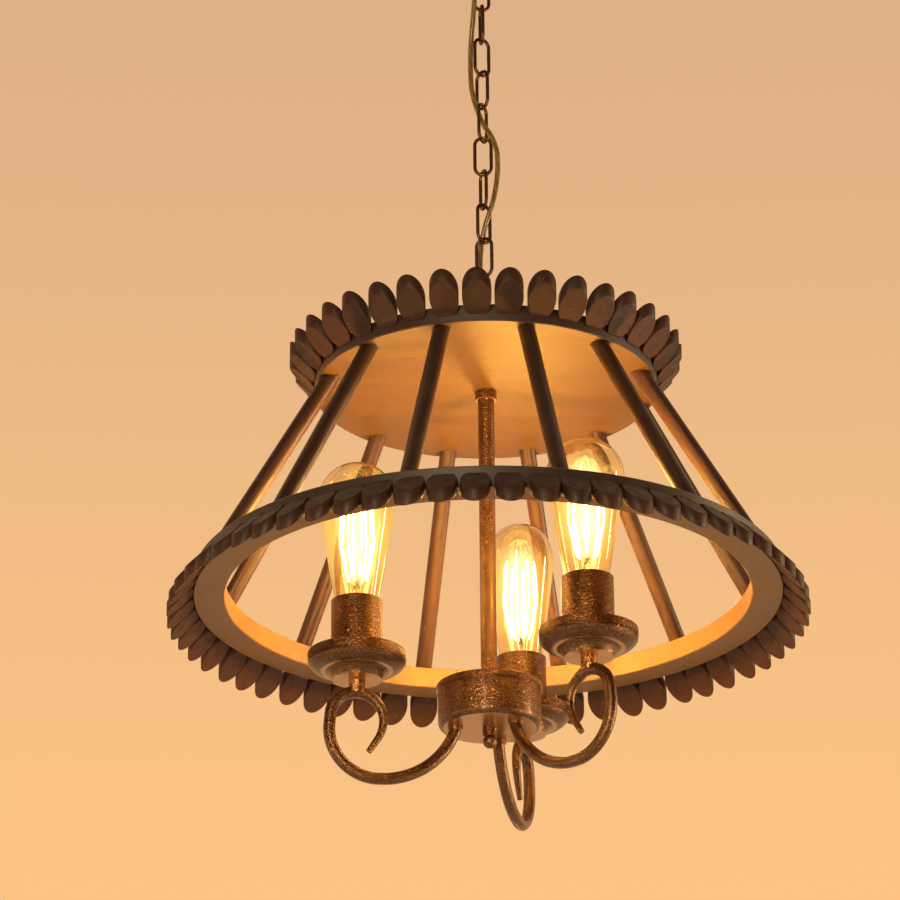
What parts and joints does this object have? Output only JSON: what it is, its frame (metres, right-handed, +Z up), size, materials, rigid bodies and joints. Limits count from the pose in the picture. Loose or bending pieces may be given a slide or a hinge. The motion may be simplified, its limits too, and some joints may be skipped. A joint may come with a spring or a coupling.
{
  "type": "wagon wheel chandelier",
  "caption": "Chain-hung wagon wheel chandelier: a wooden ring and disc joined by slanted spokes and edged with dowel petals, with scroll arms and bulbs.",
  "frame": {"origin": "centre of the ceiling plane that the canopy closes against", "axes": "+Z up out of the ceiling plane, the fitting hangs along -Z, -Y faces the viewer"},
  "size_m": [0.5268, 0.5268, 0.8129],
  "materials": {
    "stained_board": "dark walnut stain, satin lacquer",
    "stained_dowel": "dark walnut stain on turned dowel, satin lacquer",
    "stained_petal": "dark walnut stain on sawn dowel slices, matt",
    "hammered_bronze": "hammered antique bronze paint",
    "bronze_chain": "antique bronze paint, rubbed",
    "plated_steel": "zinc plated",
    "holder_plastic": "black moulded phenolic",
    "amber_glass": "clear amber lustre glass",
    "cap_metal": "rolled screw cap",
    "tip_black": "black insulator with a soldered tip",
    "filament_glow": "lit filaments on a glass stem",
    "gold_cord": "woven gold sleeve over twisted cores",
    "lead_sleeve": "heat resistant sleeve",
    "connector_plastic": "moulded"
  },
  "bodies": {
    "ceiling_plate": {"canopy": "bronze_chain", "crossbar": "plated_steel", "canopy_pipe": "plated_steel", "canopy_lock_nut": "plated_steel", "canopy_loop": "bronze_chain"},
    "link_01": {"chain_link_01": "bronze_chain"},
    "link_02": {"chain_link_02": "bronze_chain"},
    "link_03": {"chain_link_03": "bronze_chain"},
    "link_04": {"chain_link_04": "bronze_chain"},
    "link_05": {"chain_link_05": "bronze_chain"},
    "link_06": {"chain_link_06": "bronze_chain"},
    "link_07": {"chain_link_07": "bronze_chain"},
    "link_08": {"chain_link_08": "bronze_chain"},
    "link_09": {"chain_link_09": "bronze_chain"},
    "link_10": {"chain_link_10": "bronze_chain"},
    "fitting": {"top_loop": "bronze_chain", "disc_pipe": "plated_steel", "disc_washer": "plated_steel", "disc_nut": "plated_steel", "top_disc": "stained_board", "upper_petals": "stained_petal", "spokes": "stained_dowel", "lower_ring": "stained_board", "lower_petals": "stained_petal", "stem_collar": "hammered_bronze", "stem_tube": "hammered_bronze", "hub_pipe": "plated_steel", "hub_lid": "hammered_bronze", "hub_body": "hammered_bronze", "hub_nuts": "plated_steel", "finial": "hammered_bronze", "arm_nuts": "plated_steel", "couplings": "hammered_bronze", "lamp_leads": "lead_sleeve", "wire_connectors": "connector_plastic", "power_cord": "gold_cord", "arm_1": "hammered_bronze", "dish_1": "hammered_bronze", "cup_1": "hammered_bronze", "lampholder_1": "holder_plastic", "arm_2": "hammered_bronze", "dish_2": "hammered_bronze", "cup_2": "hammered_bronze", "lampholder_2": "holder_plastic", "arm_3": "hammered_bronze", "dish_3": "hammered_bronze", "cup_3": "hammered_bronze", "lampholder_3": "holder_plastic"},
    "bulb_1_tip": {"bulb_contact_1": "tip_black"},
    "bulb_1": {"bulb_glass_1": "amber_glass", "bulb_cap_1": "cap_metal", "bulb_filaments_1": "filament_glow"},
    "bulb_2_tip": {"bulb_contact_2": "tip_black"},
    "bulb_2": {"bulb_glass_2": "amber_glass", "bulb_cap_2": "cap_metal", "bulb_filaments_2": "filament_glow"},
    "bulb_3_tip": {"bulb_contact_3": "tip_black"},
    "bulb_3": {"bulb_glass_3": "amber_glass", "bulb_cap_3": "cap_metal", "bulb_filaments_3": "filament_glow"}
  },
  "joints": [
    {"name": "swing_01", "type": "hinge", "parent": "ceiling_plate", "child": "link_01", "pos_m": [0, 0, -0.065], "axis": [0, 1, 0], "range_deg": [-12, 12], "deforming": ["power_cord"]},
    {"name": "swing_02", "type": "hinge", "parent": "link_01", "child": "link_02", "pos_m": [0, 0, -0.0965], "axis": [0.9397, 0.342, 0], "range_deg": [-12, 12], "deforming": ["power_cord"]},
    {"name": "swing_03", "type": "hinge", "parent": "link_02", "child": "link_03", "pos_m": [0, 0, -0.1285], "axis": [-0.1736, 0.9848, 0], "range_deg": [-12, 12], "deforming": ["power_cord"]},
    {"name": "swing_04", "type": "hinge", "parent": "link_03", "child": "link_04", "pos_m": [0, 0, -0.1605], "axis": [0.848, 0.5299, 0], "range_deg": [-12, 12], "deforming": ["power_cord"]},
    {"name": "swing_05", "type": "hinge", "parent": "link_04", "child": "link_05", "pos_m": [0, 0, -0.1925], "axis": [0.6428, -0.766, 0], "range_deg": [-12, 12], "deforming": ["power_cord"]},
    {"name": "swing_06", "type": "hinge", "parent": "link_05", "child": "link_06", "pos_m": [0, 0, -0.2245], "axis": [0.4695, 0.8829, 0], "range_deg": [-12, 12], "deforming": ["power_cord"]},
    {"name": "swing_07", "type": "hinge", "parent": "link_06", "child": "link_07", "pos_m": [0, 0, -0.2565], "axis": [0.9986, -0.0523, 0], "range_deg": [-12, 12], "deforming": ["power_cord"]},
    {"name": "swing_08", "type": "hinge", "parent": "link_07", "child": "link_08", "pos_m": [0, 0, -0.2885], "axis": [0.342, -0.9397, 0], "range_deg": [-12, 12], "deforming": ["power_cord"]},
    {"name": "swing_09", "type": "hinge", "parent": "link_08", "child": "link_09", "pos_m": [0, 0, -0.3205], "axis": [0.7431, 0.6691, 0], "range_deg": [-12, 12], "deforming": ["power_cord"]},
    {"name": "swing_10", "type": "hinge", "parent": "link_09", "child": "link_10", "pos_m": [0, 0, -0.3525], "axis": [0.9135, -0.4067, 0], "range_deg": [-12, 12], "deforming": ["power_cord"]},
    {"name": "swing_11", "type": "hinge", "parent": "link_10", "child": "fitting", "pos_m": [0, 0, -0.3845], "axis": [0.4067, 0.9135, 0], "range_deg": [-12, 12], "deforming": ["power_cord"]},
    {"name": "bulb_1_lift", "type": "slide", "parent": "fitting", "child": "bulb_1_tip", "axis": [0, 0, 1], "range_m": [0, 0.01448]},
    {"name": "bulb_1_turn", "type": "hinge", "parent": "bulb_1_tip", "child": "bulb_1", "pos_m": [0.02798, 0.10742, -0.658], "axis": [0, 0, 1], "range_deg": [0, 1440]},
    {"name": "bulb_2_lift", "type": "slide", "parent": "fitting", "child": "bulb_2_tip", "axis": [0, 0, 1], "range_m": [0, 0.01448]},
    {"name": "bulb_2_turn", "type": "hinge", "parent": "bulb_2_tip", "child": "bulb_2", "pos_m": [-0.10701, -0.02948, -0.658], "axis": [0, 0, 1], "range_deg": [0, 1440]},
    {"name": "bulb_3_lift", "type": "slide", "parent": "fitting", "child": "bulb_3_tip", "axis": [0, 0, 1], "range_m": [0, 0.01448]},
    {"name": "bulb_3_turn", "type": "hinge", "parent": "bulb_3_tip", "child": "bulb_3", "pos_m": [0.07903, -0.07794, -0.658], "axis": [0, 0, 1], "range_deg": [0, 1440]}
  ],
  "couplings": [
    {"joint": "bulb_1_lift", "follows": "bulb_1_turn", "m_per_rad": 0.00057614},
    {"joint": "bulb_2_lift", "follows": "bulb_2_turn", "m_per_rad": 0.00057614},
    {"joint": "bulb_3_lift", "follows": "bulb_3_turn", "m_per_rad": 0.00057614}
  ]
}
